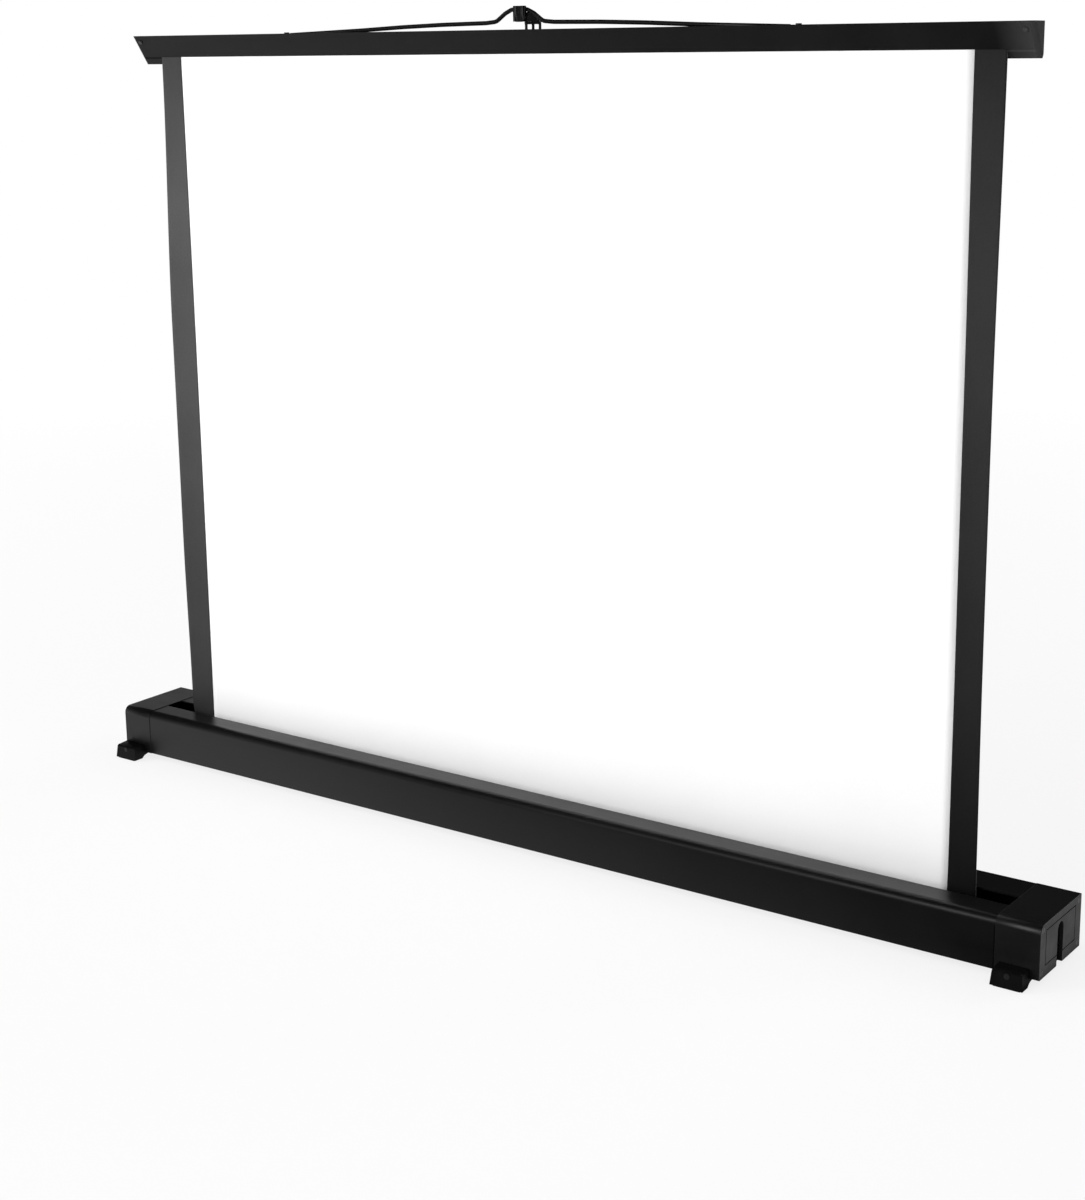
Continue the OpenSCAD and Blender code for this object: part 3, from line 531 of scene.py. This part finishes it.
# Steps in a bend, and how much of each neighbouring stretch a bend may take
BEND_STEPS, BEND_SHARE = 7, 0.48
# The wire's ends: their domes' depth and the radius of their flats, as shares of the wire's radius
DOME_DEPTH, DOME_FLAT = 0.28, 0.72


def smooth_path(points, radii):
    """A polyline with its corners turned into arcs of the given radii."""
    path = [Vector(points[0])]
    for before, corner, after, radius in zip(points, points[1:], points[2:], radii):
        before, corner, after = Vector(before), Vector(corner), Vector(after)
        back, ahead = (before - corner).normalized(), (after - corner).normalized()
        half = back.angle(ahead) / 2
        reach = min(radius / math.tan(half), (before - corner).length * BEND_SHARE,
                    (after - corner).length * BEND_SHARE)
        start, end = corner + back * reach, corner + ahead * reach
        for i in range(BEND_STEPS + 1):
            t = i / BEND_STEPS
            path.append(start * (1 - t) ** 2 + corner * 2 * t * (1 - t) + end * t * t)
    path.append(Vector(points[-1]))
    return path


def tube(name, path, radius, sides, material):
    """A round bar swept along a path in one plane, with closed, slightly domed ends."""
    across = Vector((0, 1, 0))
    first, last = (path[1] - path[0]).normalized(), (path[-1] - path[-2]).normalized()
    dome = radius * DOME_DEPTH
    stations = [(path[0], first, DOME_FLAT), (path[0] + first * dome, first, 1.0)]
    for before, point, after in zip(path, path[1:], path[2:]):
        stations.append((point, (after - before).normalized(), 1.0))
    stations += [(path[-1] - last * dome, last, 1.0), (path[-1], last, DOME_FLAT)]
    vertices, faces, rings = [], [], []
    for centre, tangent, share in stations:
        side = tangent.cross(across).normalized()
        ring = []
        for k in range(sides):
            angle = 2 * math.pi * k / sides
            ring.append(len(vertices))
            vertices.append(centre + (across * math.cos(angle) + side * math.sin(angle)) * radius * share)
        rings.append(ring)
    for ring, following in zip(rings, rings[1:]):
        for k in range(sides):
            beside = (k + 1) % sides
            faces.append((ring[k], ring[beside], following[beside], following[k]))
    faces.append(tuple(reversed(rings[0])))
    faces.append(tuple(rings[-1]))
    made = new_object(name, vertices, faces, [material])
    shape = bmesh.new()
    shape.from_mesh(made.data)
    bmesh.ops.recalc_face_normals(shape, faces=shape.faces)
    shape.to_mesh(made.data)
    shape.free()
    return made


def wire_points():
    """The wire's corners from its left end to its right one, and the radius of each bend."""
    left = [(BAR_MIDDLE - d * MM, WIRE_Y, BAR_TOP + h * MM) for d, h, _ in WIRE_HALF]
    right = [(BAR_MIDDLE + d * MM, WIRE_Y, BAR_TOP + h * MM) for d, h, _ in reversed(WIRE_HALF)]
    radii = [r * MM for _, _, r in WIRE_HALF[1:]]
    return left + right, radii + radii[::-1]


wire = tube("grip_wire", smooth_path(*wire_points()), WIRE_RADIUS, WIRE_SIDES, WIRE_COAT)
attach(wire, "bar")
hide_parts("handle_wire")


# Floor, world and lamps

# Seen only in gloss, the room is dim on the side where the photographer stands: its direction, how
# dim it is, and the range of the cosine over which it dims
DIM_SIDE, DIM_LEVEL, DIM_RANGE = (0.59, -0.807, 0.0), 0.1, (-0.3, 0.5)
# The floor dims towards that side too, along X with this share of Y, and is bright beyond the right end
DIM_SLANT, FLOOR_RANGE, FLOOR_LEVEL, RIGHT_END = -2.56, (-0.15, 0.75), 0.03, (0.585, 0.6)
# How the room seen in gloss darkens with height, as the sine of its elevation, and to the right behind
SKY_RANGE, SKY_LEVEL = (0.10, 0.36), 0.02
REAR_SIDE, REAR_LEVEL, REAR_RANGE = (0.45, 0.89, 0.0), 0.04, (0.3, 0.6)
# The floor's half width, and how it turns to pure white in the picture between two distances
FLOOR_REACH, FADE_SHARES, FADE_RANGE = 14.0, (0.8, 1.0), (0.9, 3.0)
WHITE = (1, 1, 1, 1)
WORLD_FILL = 0.55


def make_floor():
    mesh = bpy.data.meshes.new("floor")
    corners = [(-1, -1), (1, -1), (1, 1), (-1, 1)]
    mesh.from_pydata([(x * FLOOR_REACH, y * FLOOR_REACH, 0) for x, y in corners], [], [(0, 1, 2, 3)])
    floor = bpy.data.objects.new("floor", mesh)
    scene.collection.objects.link(floor)
    shader = Shader("pale_floor")
    shader.set(Base_Color=linear("f4f4f4"), Roughness=0.9, Specular_IOR_Level=0.1)
    glow = shader.add("ShaderNodeEmission")
    glow.inputs["Color"].default_value = WHITE
    rays = shader.add("ShaderNodeLightPath")
    camera_ray = rays.outputs["Is Camera Ray"]
    mirrored = shader.math("MAXIMUM", rays.outputs["Is Glossy Ray"], rays.outputs["Is Transmission Ray"])
    x = shader.along("X")
    slant = shader.math("ADD", x, shader.math("MULTIPLY", shader.along("Y"), DIM_SLANT))
    dim = shader.math("MAXIMUM", shader.span(slant, 1.0, FLOOR_LEVEL, *FLOOR_RANGE),
                      shader.span(x, 0.0, 1.0, *RIGHT_END))
    shader.link(shader.math("MAXIMUM", camera_ray, dim), glow.inputs["Strength"])
    far = shader.add("ShaderNodeVectorMath", operation="LENGTH")
    shader.link(shader.place, far.inputs[0])
    share = shader.span(far.outputs["Value"], *FADE_SHARES, *FADE_RANGE)
    blend = shader.add("ShaderNodeMixShader")
    shader.link(shader.math("MAXIMUM", mirrored, shader.math("MULTIPLY", camera_ray, share)), blend.inputs[0])
    shader.link(shader.surface.outputs[0], blend.inputs[1])
    shader.link(glow.outputs[0], blend.inputs[2])
    shader.link(blend.outputs[0], shader.output.inputs["Surface"])
    mesh.materials.append(shader.material)


def make_world():
    world = bpy.data.worlds.new("studio")
    world.use_nodes = True
    tree = world.node_tree
    tree.nodes.clear()
    add, link = tree.nodes.new, tree.links.new

    def combine(operation, first, second):
        node = add("ShaderNodeMath")
        node.operation = operation
        link(first, node.inputs[0])
        link(second, node.inputs[1])
        return node.outputs[0]

    def ramp(value, start, end, low, high, kind="LINEAR"):
        node = add("ShaderNodeMapRange")
        node.interpolation_type = kind
        for socket, number in zip(list(node.inputs)[1:5], (start, end, low, high)):
            socket.default_value = number
        link(value, node.inputs["Value"])
        return node.outputs[0]

    output = add("ShaderNodeOutputWorld")
    rays = add("ShaderNodeLightPath")
    place = add("ShaderNodeTexCoord")
    parts = add("ShaderNodeSeparateXYZ")
    link(place.outputs["Generated"], parts.inputs[0])

    def dim_towards(side, level, span):
        node = add("ShaderNodeVectorMath")
        node.operation = "DOT_PRODUCT"
        link(place.outputs["Generated"], node.inputs[0])
        node.inputs[1].default_value = side
        return ramp(node.outputs["Value"], *span, 1.0, level)

    camera_ray = rays.outputs["Is Camera Ray"]
    height = ramp(parts.outputs["Z"], *SKY_RANGE, 1.0, SKY_LEVEL, "SMOOTHSTEP")
    dim = combine("MULTIPLY", dim_towards(DIM_SIDE, DIM_LEVEL, DIM_RANGE),
                  dim_towards(REAR_SIDE, REAR_LEVEL, REAR_RANGE))
    shown = add("ShaderNodeBackground")
    link(combine("MAXIMUM", camera_ray, combine("MULTIPLY", height, dim)), shown.inputs["Color"])
    shown.inputs["Strength"].default_value = 1.0
    fill = add("ShaderNodeBackground")
    fill.inputs["Color"].default_value = WHITE
    fill.inputs["Strength"].default_value = WORLD_FILL
    mirrored = combine("MAXIMUM", rays.outputs["Is Glossy Ray"], rays.outputs["Is Transmission Ray"])
    blend = add("ShaderNodeMixShader")
    link(combine("MAXIMUM", camera_ray, mirrored), blend.inputs[0])
    link(fill.outputs[0], blend.inputs[1])
    link(shown.outputs[0], blend.inputs[2])
    link(blend.outputs[0], output.inputs["Surface"])
    scene.world = world


def lamp(name, place, target, size, power, in_gloss=True):
    """A round lamp, aimed at a target, that shows in glossy surfaces or doesn't."""
    light = bpy.data.lights.new(name, "AREA")
    light.shape = "DISK"
    light.size = size
    light.energy = power
    made = bpy.data.objects.new(name, light)
    scene.collection.objects.link(made)
    made.location = place
    made.visible_glossy = in_gloss
    made.rotation_euler = (Vector(target) - Vector(place)).to_track_quat("-Z", "Y").to_euler()


make_floor()
make_world()
lamp("key", (-3.6, -2.6, 2.4), (-0.1, 0.0, 0.4), 3.0, 112.0, in_gloss=False)
lamp("fill", (-0.4, -3.8, 1.3), (0.0, 0.0, 0.3), 2.4, 46.0)
lamp("back", (2.2, 3.2, 2.4), (0.0, 0.0, 0.4), 2.0, 36.0)


# Camera

# The photograph's size, its focal length and its centre, in pixels, and where the camera stands
IMAGE_WIDTH, IMAGE_HEIGHT = 1085, 1200
FOCAL_PIXELS = 2088.232
CENTRE_X, CENTRE_Y = 573.228, 541.825
YAW, PITCH, ROLL = (math.radians(angle) for angle in (35.267, 13.157, 0.534))
CAMERA_PLACE = (1.2485, -1.70099, 0.82118)
SENSOR_WIDTH = 36.0
VIEW_REACH = 100.0

camera_data = bpy.data.cameras.new("camera")
camera_data.sensor_width = SENSOR_WIDTH
camera_data.lens = FOCAL_PIXELS / IMAGE_HEIGHT * SENSOR_WIDTH
camera_data.shift_x = -(CENTRE_X - IMAGE_WIDTH / 2) / IMAGE_HEIGHT
camera_data.shift_y = (CENTRE_Y - IMAGE_HEIGHT / 2) / IMAGE_HEIGHT
camera_data.clip_end = VIEW_REACH
camera = bpy.data.objects.new("camera", camera_data)
scene.collection.objects.link(camera)
turn = (Matrix.Rotation(YAW, 4, "Z") @ Matrix.Rotation(math.pi / 2 - PITCH, 4, "X")
        @ Matrix.Rotation(-ROLL, 4, "Z"))
camera.matrix_world = Matrix.Translation(CAMERA_PLACE) @ turn
scene.camera = camera
scene.view_settings.view_transform = "Standard"
